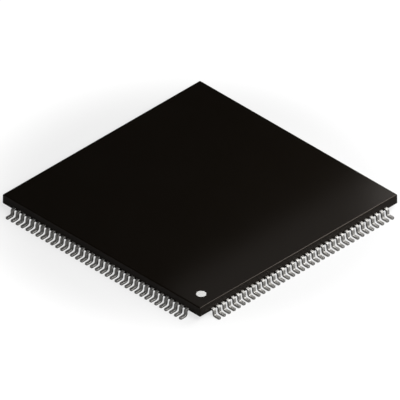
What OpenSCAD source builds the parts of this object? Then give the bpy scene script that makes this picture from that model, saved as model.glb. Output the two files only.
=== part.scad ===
// Quad flat package: a thin square moulded body with gull-wing leads on all
// four sides. The body holds a stamped leadframe: 36 leads a side, which fan
// in to a die paddle hung on four corner tie bars, with the silicon die stuck
// to the paddle and one bond wire from the die to the tip of every lead.
// The origin is on the seating plane under the centre, +Z up, and the pin 1
// mark is by the corner at -X, -Y. All sizes are in millimetres.

/* [Body] */
// Length of each side of the square body, at its parting line
body_side = 20; // [16:0.5:28]
// Thickness of the body
body_thickness = 0.8; // [0.75:0.05:1.6]
// Gap between the seating plane and the underside of the body
standoff = 0.38; // [0.25:0.01:0.6]
// Radius of the four upright corners
corner_radius = 0.1; // [0.1:0.05:0.6]
// Radius of the edges round the top face and the underside
edge_radius = 0.08; // [0.02:0.01:0.08]
// Draft of the walls above and below the parting line, in degrees
draft_angle = 1; // [0:1:4]

/* [Marks] */
// Diameter of the pin 1 mark
mark_diameter = 0.75; // [0.5:0.05:1.5]
// Distance of the mark's centre from the wall at -X
mark_from_left = 1.36; // [1:0.02:2]
// Distance of the mark's centre from the wall at -Y
mark_from_front = 1.24; // [1:0.02:2]
// Depth of the moulded dimple that holds the mark
dimple_depth = 0.05; // [0.03:0.01:0.08]
// Thickness of the ink in the dimple
ink_thickness = 0.04; // [0.01:0.01:0.05]
// Diameter of the four ejector pin marks in the underside
ejector_diameter = 1.5; // [1:0.1:2]
// Depth of the ejector pin marks
ejector_depth = 0.03; // [0.01:0.01:0.05]
// Distance of each ejector pin mark's centre from its two nearest walls
ejector_inset = 4; // [3:0.25:5]

/* [Leads] */
// Distance between the centre lines of neighbouring leads
lead_pitch = 0.5; // [0.4:0.05:0.8]
// Least distance from a corner of the body to the centre of its nearest lead
corner_clearance = 1.2; // [1:0.05:2]
// Width of a lead outside the body
lead_width = 0.25; // [0.16:0.01:0.28]
// Thickness of the strip that all the leadframe is stamped from
strip_thickness = 0.15; // [0.1:0.01:0.2]
// Height of the leadframe's underside above the underside of the body
strip_level = 0.1; // [0.08:0.01:0.2]
// Flat length of a lead between the wall and its upper bend
shoulder_length = 0.05; // [0.03:0.01:0.4]
// Inner radius of both bends of a lead
bend_radius = 0.08; // [0.05:0.01:0.15]
// Distance from the wall to the end of a lead's foot
lead_reach = 0.8; // [0.6:0.05:1.5]

/* [Leadframe inside the body] */
// Straight length of a lead just inside the wall
finger_root = 0.4; // [0.3:0.05:1]
// Width of a lead at its inner tip
finger_tip_width = 0.13; // [0.1:0.01:0.16]
// Gap between the edge of the die paddle and the inner tips of the leads
paddle_gap = 1; // [0.6:0.1:1.5]
// Length of each side of the square die paddle
paddle_side = 9; // [8:0.25:10]
// Width of the four tie bars
tie_bar_width = 0.4; // [0.3:0.05:0.6]
// Mould compound left between the end of a tie bar and the body's corner
tie_bar_cover = 0.4; // [0.3:0.05:1]
// Least gap between a tie bar and the tips of the leads beside it
tie_bar_gap = 0.25; // [0.2:0.05:0.5]
// Diameter of the hole in each tie bar that the mould compound locks into
lock_hole_diameter = 0.2; // [0.1:0.02:0.2]
// Width of the tape that ties the leads together
tape_width = 0.8; // [0.5:0.1:1.2]
// Thickness of the tape
tape_thickness = 0.06; // [0.04:0.01:0.08]

/* [Die and wires] */
// Length of each side of the square die
die_side = 7.6; // [5:0.1:7.8]
// Thickness of the die
die_thickness = 0.2; // [0.1:0.01:0.25]
// Thickness of the adhesive under the die
adhesive_thickness = 0.03; // [0.02:0.01:0.04]
// How far the adhesive runs out past the edge of the die
adhesive_margin = 0.1; // [0:0.05:0.1]
// Thickness of a bond wire
wire_thickness = 0.03; // [0.02:0.005:0.04]
// Height of the wires above the top of the die
loop_height = 0.14; // [0.1:0.01:0.15]
// Flat length at the top of a wire's loop
loop_flat = 0.5; // [0.4:0.05:0.7]
// Length of a wire that is pressed flat on its lead
stitch_length = 0.1; // [0.06:0.01:0.12]
// Distance from a bond wire's pad to the edge of the die
pad_inset = 0.1; // [0.06:0.01:0.2]
// Distance from the end pads of a row to the corner of the die
pad_corner = 0.4; // [0.3:0.05:1]

/* [Hidden] */
$fn = 32;

body_half = body_side / 2;
body_top = standoff + body_thickness;

// Levels of the leadframe and of what is stacked on its paddle
strip_bottom = standoff + strip_level;
strip_top = strip_bottom + strip_thickness;
parting_level = strip_bottom + strip_thickness / 2;
die_bottom = strip_top + adhesive_thickness;
die_top = die_bottom + die_thickness;

// As many leads as fit between the corners, and the place of each in its row
lead_count = floor((body_side - 2 * corner_clearance) / lead_pitch) + 1;
row = [for (i = [0 : lead_count - 1]) i - (lead_count - 1) / 2];

// The lead tips lie on a square round the paddle, short of the tie bars
tip_distance = paddle_side / 2 + paddle_gap;
tip_row_half = tip_distance - sqrt(2) * (tie_bar_width / 2 + tie_bar_gap) - finger_tip_width / 2;
tip_pitch = 2 * tip_row_half / (lead_count - 1);
fan_start = body_half - finger_root;
stitch_distance = tip_distance + stitch_length + wire_thickness;

// The pads lie in a row along each edge of the die
pad_distance = die_side / 2 - pad_inset;
pad_pitch = (die_side - 2 * pad_corner) / (lead_count - 1);

// Centres of the pin 1 mark, at the bottom of its dimple, and of the ejector pin marks
mark_place = [mark_from_left - body_half, mark_from_front - body_half, body_top - dimple_depth];
ejector_reach = body_half - ejector_inset;

// The largest share of a corner's radius that an edge round it may take
edge_share = 0.9;

// How far each wall leans in at a given level
function draft_inset(z) = abs(z - parting_level) * tan(draft_angle);

// Sideways place of a lead's centre line, at a distance from the centre of the package
function finger_x(place, distance) =
    let (spread = (distance - tip_distance) / (fan_start - tip_distance))
        place * (tip_pitch + (lead_pitch - tip_pitch) * spread);

// Upright section of one corner of the body, from its axis out: two drafted
// walls that meet at the parting line, and a rounded edge above and below
module corner_section() {
    top_radius = corner_radius - draft_inset(body_top);
    bottom_radius = corner_radius - draft_inset(standoff);
    top_edge = min(edge_radius, edge_share * top_radius);
    bottom_edge = min(edge_radius, edge_share * bottom_radius);
    steps = [0 : 15 : 90];
    polygon(concat(
        [[0, standoff]],
        [for (a = steps) [
            bottom_radius - bottom_edge * (1 - sin(a)),
            standoff + bottom_edge * (1 - cos(a))
        ]],
        [[corner_radius, parting_level]],
        [for (a = steps) [
            top_radius - top_edge * (1 - cos(a)),
            body_top - top_edge * (1 - sin(a))
        ]],
        [[0, body_top]]
    ));
}

// The moulded outline, solid inside
module moulding() {
    reach = body_half - corner_radius;
    hull()
        for (x = [-reach, reach], y = [-reach, reach])
            translate([x, y, 0])
                rotate_extrude()
                    corner_section();
}

// Plan of one lead's flat part, from its shoulder outside the wall, through
// the wall and along the slanting finger to the tip
module finger_plan(place) {
    root = place * lead_pitch;
    tip = place * tip_pitch;
    polygon([
        [root - lead_width / 2, body_half + shoulder_length],
        [root - lead_width / 2, fan_start],
        [tip - finger_tip_width / 2, tip_distance],
        [tip + finger_tip_width / 2, tip_distance],
        [root + lead_width / 2, fan_start],
        [root + lead_width / 2, body_half + shoulder_length]
    ]);
}

// The flat parts of all the leads of one side, reaching along +Y
module fingers() {
    translate([0, 0, strip_bottom])
        linear_extrude(strip_thickness)
            for (place = row)
                finger_plan(place);
}

// A quarter of a ring, in the quadrant between +X and +Y, for a bend in the strip
module quarter_bend() {
    intersection() {
        difference() {
            circle(bend_radius + strip_thickness);
            circle(bend_radius);
        }
        square(bend_radius + strip_thickness);
    }
}

// Side section of a lead past its shoulder: it bends down, drops to the
// seating plane, bends out again and ends in a flat foot
module gull_wing_section() {
    riser_outside = bend_radius + strip_thickness;
    riser_bottom = strip_thickness + bend_radius;
    riser_top = strip_bottom - bend_radius;
    foot_start = riser_outside + bend_radius;
    translate([0, riser_top])
        quarter_bend();
    translate([bend_radius, riser_bottom])
        square([strip_thickness, riser_top - riser_bottom]);
    translate([foot_start, riser_bottom])
        rotate(180)
            quarter_bend();
    translate([foot_start, 0])
        square([lead_reach - shoulder_length - foot_start, strip_thickness]);
}

// One side's leads, reaching along +Y
module lead_row() {
    fingers();
    for (place = row)
        translate([place * lead_pitch - lead_width / 2, body_half + shoulder_length, 0])
            rotate([90, 0, 90])
                linear_extrude(lead_width)
                    gull_wing_section();
}

// Side section of a bond wire of a given run: up from its pad on the die,
// level over the die's edge, down to the lead and pressed flat on it
module wire_section(run) {
    loop_top = die_top + loop_height;
    polygon([
        [-wire_thickness / 2, die_top],
        [-wire_thickness / 2, loop_top],
        [loop_flat, loop_top],
        [run - stitch_length, strip_top + wire_thickness],
        [run, strip_top + wire_thickness],
        [run, strip_top],
        [run - stitch_length, strip_top],
        [loop_flat, loop_top - wire_thickness],
        [wire_thickness / 2, loop_top - wire_thickness],
        [wire_thickness / 2, die_top]
    ]);
}

// One side's bond wires, each from its pad on the die to the tip of its lead
module wire_row() {
    for (place = row) {
        pad = [place * pad_pitch, pad_distance];
        stitch = [finger_x(place, stitch_distance), stitch_distance];
        run = stitch - pad;
        translate([pad.x, pad.y, 0])
            rotate(atan2(run.y, run.x))
                rotate([90, 0, 0])
                    linear_extrude(wire_thickness, center = true)
                        wire_section(norm(run));
    }
}

// Plan of the paddle and its four tie bars, one stamping
module paddle_plan() {
    bar_end = sqrt(2) * (body_half - corner_radius) + corner_radius - tie_bar_cover;
    difference() {
        union() {
            square(paddle_side, center = true);
            for (a = [45, 135])
                rotate(a)
                    square([2 * bar_end, tie_bar_width], center = true);
        }
        for (a = [45 : 90 : 315])
            rotate(a)
                translate([bar_end - tie_bar_width, 0])
                    circle(d = lock_hole_diameter);
    }
}

module package_body() {
    color([0.09, 0.08, 0.07])
        difference() {
            moulding();
            for (a = [0 : 90 : 270])
                rotate(a) {
                    fingers();
                    wire_row();
                }
            die_paddle();
            lead_lock_tape();
            die_adhesive();
            silicon_die();
            translate(mark_place)
                cylinder(d = mark_diameter, h = body_thickness);
            for (x = [-ejector_reach, ejector_reach], y = [-ejector_reach, ejector_reach])
                translate([x, y, 0])
                    cylinder(d = ejector_diameter, h = standoff + ejector_depth);
        }
}

module pin_one_mark() {
    color("white")
        translate(mark_place)
            cylinder(d = mark_diameter, h = ink_thickness);
}

module leads(angle) {
    color([0.72, 0.72, 0.72])
        rotate(angle)
            lead_row();
}

module bond_wires(angle) {
    color("gold")
        rotate(angle)
            wire_row();
}

module die_paddle() {
    color([0.8, 0.5, 0.35])
        translate([0, 0, strip_bottom])
            linear_extrude(strip_thickness)
                paddle_plan();
}

module lead_lock_tape() {
    middle = tip_distance + fan_start;
    color([0.75, 0.45, 0.1])
        translate([0, 0, strip_top])
            linear_extrude(tape_thickness)
                difference() {
                    square(middle + tape_width, center = true);
                    square(middle - tape_width, center = true);
                }
}

module die_adhesive() {
    side = die_side + 2 * adhesive_margin;
    color([0.6, 0.6, 0.62])
        translate([-side / 2, -side / 2, strip_top])
            cube([side, side, adhesive_thickness]);
}

module silicon_die() {
    color([0.35, 0.38, 0.45])
        translate([-die_side / 2, -die_side / 2, die_bottom])
            cube([die_side, die_side, die_thickness]);
}

package_body();
pin_one_mark();
leads(180);  // leads_front
leads(270);  // leads_right
leads(0);  // leads_back
leads(90);  // leads_left
die_paddle();
lead_lock_tape();
die_adhesive();
silicon_die();
bond_wires(180);  // bond_wires_front
bond_wires(270);  // bond_wires_right
bond_wires(0);  // bond_wires_back
bond_wires(90);  // bond_wires_left
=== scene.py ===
from math import cos, pi, radians, sin, tan

import bmesh
import bpy
import numpy as np
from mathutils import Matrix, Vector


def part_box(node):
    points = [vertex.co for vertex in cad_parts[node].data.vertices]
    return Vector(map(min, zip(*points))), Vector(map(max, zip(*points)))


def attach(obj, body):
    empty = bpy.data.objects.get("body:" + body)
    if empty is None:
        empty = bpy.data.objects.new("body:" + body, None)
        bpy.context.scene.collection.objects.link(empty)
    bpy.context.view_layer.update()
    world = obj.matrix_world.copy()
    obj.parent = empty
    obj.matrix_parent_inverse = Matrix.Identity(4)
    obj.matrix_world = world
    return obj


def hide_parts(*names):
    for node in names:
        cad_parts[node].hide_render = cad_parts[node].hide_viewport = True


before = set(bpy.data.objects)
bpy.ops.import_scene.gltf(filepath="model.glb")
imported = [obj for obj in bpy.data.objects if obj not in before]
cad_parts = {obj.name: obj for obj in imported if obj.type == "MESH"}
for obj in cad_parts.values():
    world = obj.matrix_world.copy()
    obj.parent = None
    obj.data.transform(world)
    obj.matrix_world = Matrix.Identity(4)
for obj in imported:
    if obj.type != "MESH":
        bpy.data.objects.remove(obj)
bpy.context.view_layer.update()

MM = 0.001


# ---------------------------------------------------------------- die paddle
# The square plate under the die and its four tie bars are one piece of
# copper alloy strip, 0.15 mm thick, stamped from the same frame as the leads.
# It is bare rolled metal.

class Signal:
    """One output socket in a material. Sums, differences and products of signals and numbers add
    Math nodes, and node() adds a node of any other kind."""

    def __init__(self, socket):
        self.socket = socket

    def node(self, kind, settings=None, inputs=None, output=0):
        """Adds a node of a kind to this signal's material: first its settings, then the value or signal
        of each input. Returns one of its outputs as a signal."""
        made = self.socket.id_data.nodes.new("ShaderNode" + kind)
        for name, value in (settings or {}).items():
            setattr(made, name, value)
        feed(made, inputs or {})
        return Signal(made.outputs[output])

    def math(self, operation, *values):
        """A Math node that works on signals and numbers."""
        return self.node("Math", {"operation": operation}, dict(enumerate(values)))

    def __add__(self, other):
        return self.math("ADD", self, other)

    def __sub__(self, other):
        return self.math("SUBTRACT", self, other)

    def __rsub__(self, other):
        return self.math("SUBTRACT", other, self)

    def __mul__(self, other):
        return self.math("MULTIPLY", self, other)

    __radd__ = __add__
    __rmul__ = __mul__

    def noise(self, size, detail=2.0):
        """Cloudy noise from 0 to 1 over this place in millimetres, with spots of about the given size."""
        return self.node("TexNoise", None, {"Vector": self, "Scale": 1 / size, "Detail": detail})

    def fade(self, low, high):
        """0 below low, 1 above high, and a smooth step between."""
        settings = {"interpolation_type": "SMOOTHSTEP"}
        return self.node("MapRange", settings, {"Value": self, "From Min": low, "From Max": high})

    def blend(self, first, second):
        """The first colour where this signal is 0, and the second where it is 1."""
        mix = {"data_type": "RGBA"}
        return self.node("Mix", mix, {"Factor": self, 6: first, 7: second}, output=2)


def feed(made, inputs):
    """Sets or links the inputs of a node, each named or numbered."""
    for key, value in inputs.items():
        socket = made.inputs[key]
        if isinstance(value, Signal):
            made.id_data.links.new(value.socket, socket)
        else:
            socket.default_value = value


def finish_named(name):
    """A new material: returns it, its shader, and the place on the piece in millimetres."""
    material = bpy.data.materials.new(name)
    material.use_nodes = True
    nodes = material.node_tree.nodes
    place = Signal(nodes.new("ShaderNodeTexCoord").outputs["Object"])
    scaled = place.node("VectorMath", {"operation": "SCALE"}, {0: place, "Scale": 1 / MM})
    return material, nodes["Principled BSDF"], scaled


def relief(height, depth):
    """A bump from a signal of 0 to 1 that stands for a given depth in millimetres."""
    return height.node("Bump", None, {"Height": height, "Distance": depth * MM})


def rolled_copper():
    """Bare copper alloy strip: long faint roll lines along X, and a little tarnish in clouds."""
    material, shader, place = finish_named("rolled_copper")
    stretched = place.node("VectorMath", {"operation": "MULTIPLY"}, {0: place, 1: (0.05, 1.0, 1.0)})
    lines = stretched.noise(0.02)
    tarnish = place.noise(1.5, 4.0).fade(0.35, 0.75)
    feed(shader, {
        "Metallic": 1.0,
        "Base Color": tarnish.blend((0.70, 0.36, 0.22, 1), (0.50, 0.24, 0.14, 1)),
        "Roughness": 0.28 + 0.18 * lines,
        "Normal": relief(lines, 0.001),
    })
    return material


def dress(node, material):
    """Gives a CAD piece that keeps its own mesh its finish."""
    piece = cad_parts[node]
    piece.data.materials.clear()
    piece.data.materials.append(material)


dress("die_paddle", rolled_copper())


# ---------------------------------------------------------------- leads
# 144 leads, 36 on each side, each one piece from its tip by the die to the
# toe of its foot. They are stamped from the same strip as the paddle, run
# through the wall of the body, and are bent and cut after moulding. Outside
# the body they are plated with matt tin, and inside they are bare copper.

LEADS_A_SIDE = 36
LEAD_WIDTH = 0.25
FINGER_TIP_WIDTH = 0.13
STRIP = 0.15
BEND_RADIUS = 0.08
SHOULDER = 0.05
FINGER_ROOT = 0.4
DIE_ROLL = 0.015
TOE_ROUND = 0.08
TIE_BAR_WIDTH = 0.4
TIE_BAR_GAP = 0.25
CREASE_ANGLE = 40

row_low, row_high = (np.array(corner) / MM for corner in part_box("leads_back"))
body_low, body_high = (np.array(corner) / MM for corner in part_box("package_body"))
body_half = body_high[0]
pitch = (row_high[0] - row_low[0] - LEAD_WIDTH) / (LEADS_A_SIDE - 1)
places = np.arange(LEADS_A_SIDE) - (LEADS_A_SIDE - 1) / 2
tip_distance = row_low[1]
toe_distance = row_high[1]
strip_top = row_high[2]
fan_start = body_half - FINGER_ROOT
toe_turn = np.linspace(0, pi / 2, 4)


def lead_path(steps):
    """Centre line of a lead, seen from its side, in millimetres.

    Each station has its distance from the middle of the package, its height and its slope. The line
    is level from the tip to the shoulder, turns down a quarter circle of radius R, where the distance
    grows by R sin(a) and the height drops by R (1 - cos(a)), drops straight, and turns level again on
    a second quarter circle before the foot. The last stations lie on the quarter circle that rounds the
    toe, at R (1 - sin(a)) from its end.
    """
    radius = BEND_RADIUS + STRIP / 2
    turn = np.linspace(0, pi / 2, steps + 1)
    level = strip_top - STRIP / 2
    shoulder = body_half + SHOULDER
    upper = [shoulder + radius * np.sin(turn), level - radius * (1 - np.cos(turn)), turn]
    heel = shoulder + 2 * radius
    lower = [heel - radius * np.cos(turn), STRIP / 2 + radius * (1 - np.sin(turn)), pi / 2 - turn]
    ends = toe_distance - TOE_ROUND * (1 - np.sin(toe_turn))
    return np.concatenate([
        [[tip_distance, level, 0], [fan_start, level, 0]],
        np.transpose(upper),
        np.transpose(lower),
        [[end, STRIP / 2, 0] for end in ends],
    ])


def lead_section(width, thickness):
    """Section of the strip: a rectangle whose two upper edges are rolled off by the punch. Its corners
    run counter-clockwise seen from the toe, so that the faces along the path point outwards."""
    side, top, roll = width / 2, thickness / 2, DIE_ROLL
    return np.array([
        [-side, -top], [-side, top - roll], [-side + roll, top],
        [side - roll, top], [side, top - roll], [side, -top],
    ])


def turned(points, quarter_turns):
    """Points turned about Z by a number of quarter turns, to the left seen from above."""
    x, y, z = np.moveaxis(points, -1, 0)
    for _ in range(quarter_turns):
        x, y = -y, x
    return np.stack([x, y, z], axis=-1)


def grid_faces(rings, around):
    """Faces of a closed band of rings, as rows of four corners."""
    ring = np.arange(around)
    following = np.roll(ring, -1)
    start = np.arange(rings - 1)[:, None] * around
    corners = [start + ring, start + following, start + around + following, start + around + ring]
    return np.stack(corners, axis=-1).reshape(-1, 4)


def tube_faces(stations, corners, count):
    """Faces of a number of closed strips, each a band of rings with a cap at both ends."""
    band = grid_faces(stations, corners)
    ring = np.arange(corners)
    caps = np.stack([ring[::-1], ring + (stations - 1) * corners])
    faces = []
    for first in np.arange(count) * stations * corners:
        faces += (band + first).tolist() + (caps + first).tolist()
    return faces


def new_piece(name, points, faces, material, smooth=True):
    """A mesh piece from points in millimetres and lists of corners."""
    mesh = bpy.data.meshes.new(name)
    mesh.from_pydata((np.reshape(points, (-1, 3)) * MM).tolist(), [], faces)
    mesh.materials.append(material)
    mesh.polygons.foreach_set("use_smooth", [smooth] * len(faces))
    piece = bpy.data.objects.new(name, mesh)
    bpy.context.scene.collection.objects.link(piece)
    return piece


def crease(piece, angle):
    """Keeps every edge sharp that turns by more than an angle in degrees, and lets the rest run smooth."""
    edit = bmesh.new()
    edit.from_mesh(piece.data)
    for edge in edit.edges:
        edge.smooth = edge.calc_face_angle(pi) < radians(angle)
    edit.to_mesh(piece.data)
    edit.free()


def matt_tin():
    """Matt tin over copper: fine grain and faint stains outside the wall, and bare copper inside it."""
    material, shader, place = finish_named("matt_tin")
    sides = place.node("VectorMath", {"operation": "ABSOLUTE"}, {0: place})
    x = sides.node("SeparateXYZ", None, {0: sides}, output="X")
    y = sides.node("SeparateXYZ", None, {0: sides}, output="Y")
    plated = x.math("MAXIMUM", x, y).fade(body_half - 0.02, body_half)
    grain = place.noise(0.012)
    stain = place.noise(0.35, 3.0).fade(0.3, 0.8)
    tin = stain.blend((0.58, 0.57, 0.55, 1), (0.46, 0.45, 0.43, 1))
    feed(shader, {
        "Metallic": 1.0,
        "Base Color": plated.blend((0.62, 0.33, 0.20, 1), tin),
        "Roughness": 0.46 + 0.12 * stain + 0.1 * grain,
        "Normal": relief(grain, 0.0006),
    })
    return material


def lead_row(name, quarter_turns, material):
    """The leads of one side. A lead's corners lie on its path, moved sideways and along the strip's own
    normal by the section's corners. Its width and its place along the row change steadily from the tip
    to where the slanting finger ends. Round the toe, each side draws in by R (1 - cos(a))."""
    path = lead_path(3)
    distance, height, slope = path.T
    inner_pitch = tip_pitch()
    fan = np.clip((distance - tip_distance) / (fan_start - tip_distance), 0, 1)
    sideways = places[:, None] * (inner_pitch + (pitch - inner_pitch) * fan)
    width = FINGER_TIP_WIDTH + (LEAD_WIDTH - FINGER_TIP_WIDTH) * fan
    width[-len(toe_turn):] -= 2 * TOE_ROUND * (1 - np.cos(toe_turn))
    section = np.array([lead_section(w, STRIP) for w in width])
    across, up = section[:, :, 0], section[:, :, 1]
    x = sideways[:, :, None] + across
    y = distance[:, None] + up * np.sin(slope)[:, None] + 0 * x
    z = height[:, None] + up * np.cos(slope)[:, None] + 0 * x
    points = turned(np.stack([x, y, z], axis=-1), quarter_turns)
    faces = tube_faces(len(path), section.shape[1], LEADS_A_SIDE)
    piece = new_piece(name, points, faces, material)
    crease(piece, CREASE_ANGLE)
    return piece


def tip_pitch():
    """Pitch of the inner tips, which lie along a line that stops short of the tie bars."""
    half = tip_distance - 2 ** 0.5 * (TIE_BAR_WIDTH / 2 + TIE_BAR_GAP) - FINGER_TIP_WIDTH / 2
    return 2 * half / (LEADS_A_SIDE - 1)


tin = matt_tin()
for quarter_turns, side in enumerate(["back", "left", "front", "right"]):
    leads = lead_row("gull_wing_leads_" + side, quarter_turns, tin)
    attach(leads, "root")
    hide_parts("leads_" + side)


# ---------------------------------------------------------------- tape
# A square ring of amber polyimide tape lies across all the fingers and the
# tie bars. It is stuck on before the fingers are cut free, and keeps them apart.

def amber_tape():
    """Amber film with a faint, even tooth."""
    material, shader, place = finish_named("amber_tape")
    tooth = place.noise(0.05)
    feed(shader, {
        "Base Color": tooth.blend((0.60, 0.27, 0.05, 1), (0.70, 0.34, 0.08, 1)),
        "Roughness": 0.3 + 0.1 * tooth,
        "Normal": relief(tooth, 0.001),
    })
    return material


dress("lead_lock_tape", amber_tape())


# ---------------------------------------------------------------- die
# The chip itself: a square of polished silicon, stuck to the paddle with a
# thin layer of silver-filled epoxy that squeezes out a little round its edge.

def silver_epoxy():
    """Cured adhesive, dull grey with silver flakes."""
    material, shader, place = finish_named("silver_epoxy")
    flakes = place.noise(0.03).fade(0.5, 0.7)
    feed(shader, {
        "Base Color": flakes.blend((0.42, 0.42, 0.43, 1), (0.68, 0.68, 0.70, 1)),
        "Metallic": 0.3 + 0.5 * flakes,
        "Roughness": 0.6 - 0.2 * flakes,
    })
    return material


def silicon():
    """Polished silicon with the faint colours of its oxide."""
    material, shader, place = finish_named("silicon")
    oxide = place.noise(2.0, 3.0)
    feed(shader, {
        "Base Color": oxide.blend((0.16, 0.18, 0.24, 1), (0.22, 0.20, 0.26, 1)),
        "Metallic": 0.8,
        "Roughness": 0.12 + 0.06 * oxide,
    })
    return material


dress("die_adhesive", silver_epoxy())
dress("silicon_die", silicon())


# ---------------------------------------------------------------- bond wires
# One gold wire runs from each pad on the die to the tip of its lead. It is
# welded as a ball on the pad, looped up over the die's edge, and pressed
# flat on the lead.

def drawn_gold():
    """Bright gold with faint die lines."""
    material, shader, place = finish_named("drawn_gold")
    lines = place.noise(0.01)
    feed(shader, {
        "Metallic": 1.0,
        "Base Color": lines.blend((0.90, 0.60, 0.22, 1), (0.96, 0.70, 0.30, 1)),
        "Roughness": 0.2 + 0.1 * lines,
    })
    return material


gold = drawn_gold()
for side in ["back", "left", "front", "right"]:
    dress("bond_wires_" + side, gold)


# ---------------------------------------------------------------- body
# Black epoxy compound, moulded round the leadframe in a two-part mould that
# meets at the leads. The walls draw in by 1 degree from that line, the edges
# are slightly round, the mould's eroded surface leaves a fine satin grain, and
# four ejector pins leave shallow round marks in the underside.

DRAFT = radians(1)
CORNER_RADIUS = 0.1
EDGE_RADIUS = 0.1
FLASH = 0.006
DIMPLE_DEPTH = 0.05
EJECTOR_RADIUS = 0.75
EJECTOR_DEPTH = 0.03
EJECTOR_INSET = 4.0
PIT_EDGE = 0.03
PIT_MIDDLE = 0.05
FLAT_GUARD = 0.02
SPOKE_STEPS = 20
WELD = 1e-4
BODY_CREASE = 50

parting = strip_top - STRIP / 2
mark_low, mark_high = (np.array(corner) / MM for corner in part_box("pin_one_mark"))
mark_centre = (mark_low + mark_high)[:2] / 2
mark_radius = (mark_high - mark_low)[0] / 2


def body_outline(half, side_steps, corner_steps):
    """Plan of the body at the parting line: four quarter turns of half a side, a round corner and half
    a side. Returns the points and the outward direction at each."""
    reach = half - CORNER_RADIUS
    along = np.linspace(0, reach, side_steps, endpoint=False)
    turn = np.linspace(0, pi / 2, corner_steps)
    out = np.concatenate([
        np.tile([1.0, 0.0], (side_steps, 1)),
        np.stack([np.cos(turn), np.sin(turn)], axis=-1),
        np.tile([0.0, 1.0], (side_steps - 1, 1)),
    ])
    points = np.concatenate([
        np.stack([np.full(side_steps, half), along], axis=-1),
        reach + CORNER_RADIUS * out[side_steps:side_steps + corner_steps],
        np.stack([along[:0:-1], np.full(side_steps - 1, half)], axis=-1),
    ])
    turns = [np.array([[cos(a), sin(a)], [-sin(a), cos(a)]]).round(9) for a in (0, pi / 2, pi, 3 * pi / 2)]
    return np.concatenate([points @ t for t in turns]), np.concatenate([out @ t for t in turns])


def wall_levels(steps):
    """How far in the wall stands at each level, from the top face to the underside: a quarter round of
    the edge radius, a straight drafted wall down to the parting line, a bead of flash there, and the same
    below."""
    turn = np.linspace(0, pi / 2, steps)
    top_inset = (body_high[2] - parting) * tan(DRAFT)
    low_inset = (parting - body_low[2]) * tan(DRAFT)
    upper = [top_inset + EDGE_RADIUS * (1 - np.sin(turn)), body_high[2] - EDGE_RADIUS * (1 - np.cos(turn))]
    lower = [low_inset + EDGE_RADIUS * (1 - np.cos(turn)), body_low[2] + EDGE_RADIUS * (1 - np.sin(turn))]
    top_guard = [[top_inset + EDGE_RADIUS + FLAT_GUARD], [body_high[2]]]
    low_guard = [[low_inset + EDGE_RADIUS + FLAT_GUARD], [body_low[2]]]
    bead = [[FLASH, FLASH / 3, 0, FLASH / 3, FLASH],
            parting + np.array([1.5, 1, 0, -1, -1.5]) * FLASH]
    return np.concatenate([top_guard, upper, bead, lower, low_guard], axis=1).T


def pitted_face(rim, centre, radius, depth, inward):
    """A flat face inside the closed line rim, with a round pit in it. The rings lie where the rays from the
    pit's centre to the points of the rim cross the floor of the pit, its side, which curves up by cos(a),
    its rounded lip, which levels out by sin(a), and the rim itself. inward is +1 where the pit sinks
    towards +Z, and -1 where it sinks towards -Z."""
    rays = rim[:, :2] - centre
    rays = rays / np.linalg.norm(rays, axis=1)[:, None]
    turn = np.linspace(0, pi / 2, 4)
    side = radius - PIT_EDGE * (1 - np.sin(turn))
    round_lip = radius + PIT_EDGE * (1 - np.cos(turn))
    radii = np.concatenate([[PIT_MIDDLE], side, round_lip, [radius + PIT_EDGE + FLAT_GUARD]])
    drop = np.concatenate([[1], (1 + np.cos(turn)) / 2, (1 - np.sin(turn)) / 2, [0]])
    rings = np.empty((len(radii) + 1, len(rim), 3))
    rings[:-1, :, :2] = centre + rays * radii[:, None, None]
    rings[:-1, :, 2] = rim[0, 2] + (inward * depth * drop)[:, None]
    rings[-1] = rim
    return rings


def moulded_epoxy():
    """Black moulding compound: an even grain from the eroded mould, and broad soft changes of sheen."""
    material, shader, place = finish_named("moulded_epoxy")
    grain = place.noise(0.03, 3.0)
    sheen = place.noise(3.0, 3.0)
    feed(shader, {
        "Base Color": sheen.blend((0.0030, 0.0018, 0.0006, 1), (0.0038, 0.0025, 0.0012, 1)),
        "Roughness": 0.26 + 0.04 * sheen + 0.04 * grain,
        "Specular IOR Level": 0.45,
        "Specular Tint": (1.0, 0.86, 0.76, 1),
        "Normal": relief(grain, 0.0008),
    })
    return material


def wall_rings():
    """Rings of the walls: at each level, the outline moved in by the inset. Where that is more than the
    corner radius, the ring would cross itself, so it is cut off square there."""
    outline, out = body_outline(body_half, side_steps=40, corner_steps=7)
    levels = wall_levels(5)
    inset, height = levels[:, None, :1], levels[:, None, 1:]
    limit = body_half - inset
    plan = np.clip(outline - out * inset, -limit, limit)
    return np.concatenate([plan, np.broadcast_to(height, plan.shape[:2] + (1,))], axis=-1)


def quarter_rims(ring):
    """Splits the area inside a level ring into four squares that meet in the middle. Each rim is a quarter
    of the ring and two straight spokes."""
    middle = np.array([0, 0, ring[0, 2]])
    share = np.linspace(0, 1, SPOKE_STEPS, endpoint=False)[1:, None]
    closed = np.concatenate([ring, ring[:1]])
    quarter = len(ring) // 4
    arcs = [closed[k * quarter:(k + 1) * quarter + 1] for k in range(4)]
    return [np.concatenate([arc, arc[-1] + (middle - arc[-1]) * share, [middle],
                            middle + (arc[0] - middle) * share]) for arc in arcs]


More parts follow.
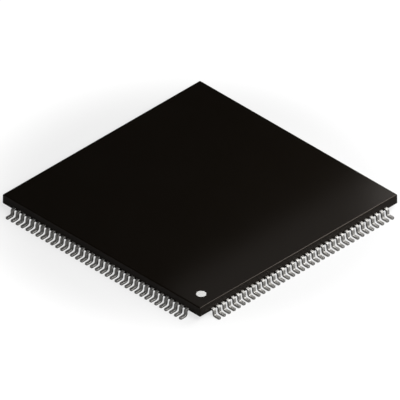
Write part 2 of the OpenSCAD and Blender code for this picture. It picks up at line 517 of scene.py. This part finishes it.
def moulded_body():
    """The whole skin of the body: the walls, the top face round the dimple of the mark, and the underside
    as four squares, each round an ejector mark. Their shared rims are merged."""
    walls = wall_rings()
    parts = [walls, pitted_face(walls[0], mark_centre, mark_radius, DIMPLE_DEPTH, -1)]
    for rim, angle in zip(quarter_rims(walls[-1]), (0, pi / 2, pi, 3 * pi / 2)):
        corner = np.array([cos(angle) - sin(angle), sin(angle) + cos(angle)])
        centre = (body_half - EJECTOR_INSET) * corner
        parts.append(pitted_face(rim, centre, EJECTOR_RADIUS, EJECTOR_DEPTH, 1))
    points, faces, first = [], [], 0
    for rings in parts:
        count, around = rings.shape[:2]
        faces += (grid_faces(count, around) + first).tolist()
        if rings is not walls:
            faces.append(list(range(first, first + around)))
        points.append(rings.reshape(-1, 3))
        first += count * around
    body = new_piece("moulded_body", np.concatenate(points), faces, moulded_epoxy())
    edit = bmesh.new()
    edit.from_mesh(body.data)
    bmesh.ops.remove_doubles(edit, verts=edit.verts, dist=WELD * MM)
    bmesh.ops.recalc_face_normals(edit, faces=edit.faces)
    edit.to_mesh(body.data)
    edit.free()
    crease(body, BODY_CREASE)
    return body


body = moulded_body()
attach(body, "root")
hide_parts("package_body")


# ---------------------------------------------------------------- pin 1 mark
# A disc of matt white ink, dropped into a shallow round dimple of the top
# face by the first lead. It settles with a slightly raised middle.

INK_EDGE = 0.015
INK_CROWN = 0.004


def white_ink():
    """Matt white ink with a faint mottle and a fine grain."""
    material, shader, place = finish_named("white_ink")
    mottle = place.noise(0.12, 3.0)
    grain = place.noise(0.02)
    feed(shader, {
        "Base Color": mottle.blend((0.86, 0.85, 0.83, 1), (0.95, 0.95, 0.94, 1)),
        "Roughness": 0.6 + 0.1 * grain,
        "Normal": relief(grain, 0.001),
    })
    return material


def ink_disc(around):
    """A turned profile: the rings of its underside, its round edge and its crowned top, each ring a circle
    round the mark's centre."""
    turn = np.linspace(-pi / 2, pi / 2, 7)
    thickness = mark_high[2] - mark_low[2] - INK_CROWN
    edge = [mark_radius - INK_EDGE * (1 - np.cos(turn)), mark_low[2] + thickness * (1 + np.sin(turn)) / 2]
    inner = mark_radius * np.array([0.75, 0.5, 0.25, 0.02])
    crown = [inner, mark_low[2] + thickness + INK_CROWN * (1 - (inner / mark_radius) ** 2)]
    radius, height = np.concatenate([edge, crown], axis=1)
    angle = np.linspace(0, 2 * pi, around, endpoint=False)
    x = mark_centre[0] + radius[:, None] * np.cos(angle)
    y = mark_centre[1] + radius[:, None] * np.sin(angle)
    points = np.stack([x, y, height[:, None] + 0 * x], axis=-1)
    return new_piece("white_ink_mark", points, tube_faces(len(radius), around, 1), white_ink())


ink = ink_disc(64)
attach(ink, "root")
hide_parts("pin_one_mark")


# ---------------------------------------------------------------- studio
# The package stands on a wide white floor under a dim, even sky. A square
# lamp stands high on the right, and a wider one in front. Over the front of
# the top face, a dim long card and a small lamp draw a soft sheen.

SKY = 0.03
HORIZON_LOW, HORIZON_HIGH = 0.02, 0.12
FLOOR_WIDTH = 2000.0
FLOOR_GREY = 0.28
# Close to the package the floor glows less to the camera: painted shade round the package, which also
# deepens its real shadow.
SHADE_RING_GLOW, FLOOR_GLOW = 0.70, 0.95
SHADE_RING_START, SHADE_RING_END = 12, 20
MIRROR_START, MIRROR_END = 14, 50
CAMERA_AZIMUTH, CAMERA_ELEVATION = -45, 35.264
CAMERA_DISTANCE = 200.0
FRAME_WIDTH = 28.58
FRAME_RISE = 0.00835


def look_from(azimuth, elevation):
    """Unit vector from the object towards a place round it. Azimuth 0 is towards -Y and 90 towards +X."""
    a, e = radians(azimuth), radians(elevation)
    return np.array([sin(a) * cos(e), -cos(a) * cos(e), sin(e)])


def aimed(data, place, target):
    """An object at a place in millimetres, turned so that its -Z axis points at a target."""
    made = bpy.data.objects.new(data.name, data)
    made.location = np.array(place) * MM
    direction = Vector(target) - Vector(place)
    made.rotation_euler = direction.to_track_quat("-Z", "Y").to_euler()
    bpy.context.scene.collection.objects.link(made)
    return made


def soft_lamp(name, place, target, width, height, brightness):
    """A rectangular lamp that the camera doesn't see. Its power is pi times its area in square metres
    times the brightness of its face."""
    lamp = bpy.data.lights.new(name, "AREA")
    lamp.shape = "RECTANGLE"
    lamp.size = width * MM
    lamp.size_y = height * MM
    lamp.energy = brightness * pi * lamp.size * lamp.size_y
    made = aimed(lamp, place, target)
    made.visible_camera = False


def ray_kinds(tree):
    """1 for the camera's own rays, and 1 for the rays that mirrors and clear things send out."""
    rays = tree.nodes.new("ShaderNodeLightPath").outputs
    camera = Signal(rays["Is Camera Ray"])
    glossy = Signal(rays["Is Glossy Ray"])
    mirrored = glossy.math("MAXIMUM", glossy, Signal(rays["Is Transmission Ray"]))
    return camera, mirrored * (1 - camera)


def white_sky():
    """White to the camera, and to mirrors along the horizon. Elsewhere it lights the object dimly."""
    world = bpy.data.worlds.new("white_sky")
    world.use_nodes = True
    nodes = world.node_tree.nodes
    camera_rays, mirror_rays = ray_kinds(world.node_tree)
    direction = Signal(nodes.new("ShaderNodeTexCoord").outputs["Generated"])
    height = direction.node("SeparateXYZ", None, {0: direction}, output="Z")
    horizon = 1 - height.fade(HORIZON_LOW, HORIZON_HIGH)
    strength = SKY + (1 - SKY) * (camera_rays + mirror_rays * horizon)
    feed(nodes["Background"], {"Color": (1, 1, 1, 1), "Strength": strength})
    return world


def white_floor():
    """A pale matt floor that keeps shadows and also glows: to the camera a little less close to the object,
    which paints a faint shade round it and deepens its shadow there, and to mirrors only far from it. It is
    clear from below."""
    material = bpy.data.materials.new("white_floor")
    material.use_nodes = True
    nodes = material.node_tree.nodes
    nodes.remove(nodes["Principled BSDF"])
    camera_rays, mirror_rays = ray_kinds(material.node_tree)
    place = Signal(nodes.new("ShaderNodeTexCoord").outputs["Object"])
    length = place.node("VectorMath", {"operation": "LENGTH"}, {0: place}, output="Value")
    distance = length * (1 / MM)
    # Painted shade: the camera sees a dimmer glow within a ring round the package, fading out to the full
    # glow further away.
    camera_glow_with_painted_shade = SHADE_RING_GLOW + (FLOOR_GLOW - SHADE_RING_GLOW) * distance.fade(SHADE_RING_START, SHADE_RING_END)
    mirrored = FLOOR_GLOW * distance.fade(MIRROR_START, MIRROR_END)
    glow = camera_glow_with_painted_shade * camera_rays + mirrored * mirror_rays
    diffuse = place.node("BsdfDiffuse", None, {"Color": (FLOOR_GREY, FLOOR_GREY, FLOOR_GREY, 1)})
    emission = place.node("Emission", None, {"Strength": glow})
    lit = place.node("AddShader", None, {0: diffuse, 1: emission})
    clear = place.node("BsdfTransparent")
    underneath = Signal(nodes.new("ShaderNodeNewGeometry").outputs["Backfacing"])
    surface = place.node("MixShader", None, {0: underneath, 1: lit, 2: clear})
    feed(nodes["Material Output"], {"Surface": surface})
    return material


bpy.context.scene.world = white_sky()
edge = FLOOR_WIDTH / 2
corners = [[-edge, -edge, 0], [edge, -edge, 0], [edge, edge, 0], [-edge, edge, 0]]
floor = new_piece("floor", corners, [[0, 1, 2, 3]], white_floor(), smooth=False)

soft_lamp("key_lamp", look_from(60, 45) * 54, (6, -8, 1), 30, 30, 4.3)
soft_lamp("front_lamp", look_from(-5, 50) * 80, (0, 0, 0), 50, 40, 6.5)
soft_lamp("edge_card", (12, -3, 8), (12, -9.5, 1.2), 34, 4, 0.23)
soft_lamp("corner_lamp", (20, -2, 10), (8, -8, 1), 6, 6, 0.9)

camera_data = bpy.data.cameras.new("camera")
camera_data.type = "ORTHO"
camera_data.ortho_scale = FRAME_WIDTH * MM
camera_data.shift_y = FRAME_RISE
camera_data.clip_start = 0.001
camera_data.clip_end = 10
view_centre = np.array([0, 0, body_low[2]])
away = look_from(CAMERA_AZIMUTH, CAMERA_ELEVATION) * CAMERA_DISTANCE
bpy.context.scene.camera = aimed(camera_data, view_centre + away, view_centre)
bpy.context.scene.view_settings.view_transform = "Standard"
